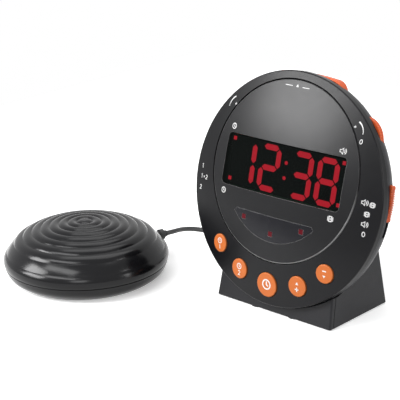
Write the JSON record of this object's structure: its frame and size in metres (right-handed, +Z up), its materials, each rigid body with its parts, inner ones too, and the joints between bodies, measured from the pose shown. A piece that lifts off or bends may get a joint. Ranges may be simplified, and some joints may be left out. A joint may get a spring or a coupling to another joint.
{
  "type": "bed shaker alarm clock",
  "caption": "Round digital alarm clock on a hollow stand, with front keys, rim controls, backup cells and a round vibrating pad on a thin lead.",
  "frame": {"origin": "centre of the stand's footprint, at table level", "axes": "+X to the right seen from the front, +Y to the back, +Z up"},
  "size_m": [0.2549, 0.2279, 0.1425],
  "materials": {
    "shell_black": "fine moulded texture, satin black",
    "bezel_black": "satin black, smooth",
    "panel_black": "soft gloss black",
    "housing_grey": "fine texture, charcoal",
    "smoked_lens": "smoked acrylic",
    "red_lens": "red acrylic light pipes",
    "module_dark": "display module body",
    "lit_red": "lit red display bars",
    "circuit_green": "solder masked circuit board",
    "lamp_red": "lamps",
    "switch_black": "switch bodies",
    "screw_steel": "zinc plated screws",
    "orange": "satin orange",
    "speaker_steel": "black pressed basket",
    "paper": "paper cone",
    "ferrite": "magnet",
    "pot_steel": "potentiometer cans",
    "rubber_black": "feet, grommet and tie",
    "cell_wrap": "battery cells",
    "contact_steel": "nickel plated contacts",
    "jack_black": "jack bodies",
    "pad_black": "satin gloss black",
    "motor_steel": "motor case and strap",
    "shaft_steel": "ground shaft",
    "weight_brass": "turned half weight",
    "lead_black": "flexible jacket",
    "plug_black": "moulded plug",
    "pin_chrome": "plug pin"
  },
  "bodies": {
    "clock": {"front_bezel": "bezel_black", "face_panel": "panel_black", "display_window": "smoked_lens", "alert_strip": "smoked_lens", "alert_light_pipes": "red_lens", "display_module": "module_dark", "lit_segments": "lit_red", "control_board": "circuit_green", "alert_lamps": "lamp_red", "key_switches": "switch_black", "board_screws": "screw_steel", "rear_housing": "housing_grey", "housing_screws": "screw_steel", "speaker_basket": "speaker_steel", "speaker_cone": "paper", "speaker_magnet": "ferrite", "speaker_screws": "screw_steel", "snooze_switch": "switch_black", "dimmer_pot": "pot_steel", "volume_pot": "pot_steel", "mode_switch": "switch_black", "alarm_select_switch": "switch_black", "stand_front": "shell_black", "stand_shell": "shell_black", "stand_base": "shell_black", "stand_feet": "rubber_black", "stand_screws": "screw_steel", "head_screws": "screw_steel", "backup_cells": "cell_wrap", "battery_contacts": "contact_steel", "jack_board": "circuit_green", "power_jack": "jack_black", "shaker_jack": "jack_black", "pad_upper_shell": "pad_black", "pad_lower_shell": "pad_black", "pad_feet": "rubber_black", "pad_screws": "screw_steel", "motor_case": "motor_steel", "motor_strap": "motor_steel", "lead_grommet": "rubber_black", "lead_run": "lead_black", "lead_coil": "lead_black", "lead_tail": "lead_black", "lead_tie": "rubber_black", "shaker_plug": "plug_black", "plug_pin": "pin_chrome"},
    "snooze": {"snooze_bar": "orange"},
    "alarm_one_key": {"alarm_one_button": "orange"},
    "alarm_two_key": {"alarm_two_button": "orange"},
    "time_key": {"time_button": "orange"},
    "up_key": {"up_button": "orange"},
    "down_key": {"down_button": "orange"},
    "mode_slider": {"mode_knob": "orange"},
    "alarm_slider": {"alarm_select_knob": "orange"},
    "dimmer": {"dimmer_wheel": "orange"},
    "volume": {"volume_wheel": "orange"},
    "door": {"battery_door": "shell_black"},
    "rotor": {"motor_shaft": "shaft_steel", "eccentric_weight": "weight_brass"}
  },
  "joints": [
    {"name": "snooze_press", "type": "slide", "parent": "clock", "child": "snooze", "axis": [0, -0.2402, -0.9707], "range_m": [0, 0.0012], "stiffness_N_per_m": 700, "springref_m": -0.001},
    {"name": "alarm_one_press", "type": "slide", "parent": "clock", "child": "alarm_one_key", "axis": [0, 0.9707, -0.2402], "range_m": [0, 0.0008], "stiffness_N_per_m": 900, "springref_m": -0.0006},
    {"name": "alarm_two_press", "type": "slide", "parent": "clock", "child": "alarm_two_key", "axis": [0, 0.9707, -0.2402], "range_m": [0, 0.0008], "stiffness_N_per_m": 900, "springref_m": -0.0006},
    {"name": "time_press", "type": "slide", "parent": "clock", "child": "time_key", "axis": [0, 0.9707, -0.2402], "range_m": [0, 0.0008], "stiffness_N_per_m": 900, "springref_m": -0.0006},
    {"name": "up_press", "type": "slide", "parent": "clock", "child": "up_key", "axis": [0, 0.9707, -0.2402], "range_m": [0, 0.0008], "stiffness_N_per_m": 900, "springref_m": -0.0006},
    {"name": "down_press", "type": "slide", "parent": "clock", "child": "down_key", "axis": [0, 0.9707, -0.2402], "range_m": [0, 0.0008], "stiffness_N_per_m": 900, "springref_m": -0.0006},
    {"name": "mode_slide", "type": "slide", "parent": "clock", "child": "mode_slider", "axis": [0, -0.2402, -0.9707], "range_m": [0, 0.009]},
    {"name": "alarm_select_slide", "type": "slide", "parent": "clock", "child": "alarm_slider", "axis": [0, -0.2402, -0.9707], "range_m": [0, 0.009]},
    {"name": "dimmer_turn", "type": "hinge", "parent": "clock", "child": "dimmer", "pos_m": [0.04279, 0.00279, 0.1086], "axis": [0, -0.9707, 0.2402], "range_deg": [-135, 135]},
    {"name": "volume_turn", "type": "hinge", "parent": "clock", "child": "volume", "pos_m": [-0.04279, 0.00279, 0.1086], "axis": [0, -0.9707, 0.2402], "range_deg": [-135, 135]},
    {"name": "door_slide", "type": "slide", "parent": "clock", "child": "door", "axis": [0, 1, 0], "range_m": [0, 0.024]},
    {"name": "motor_turn", "type": "hinge", "parent": "clock", "child": "rotor", "pos_m": [-0.13195, -0.05557, 0.0156], "axis": [1, 0, 0], "continuous": true}
  ]
}
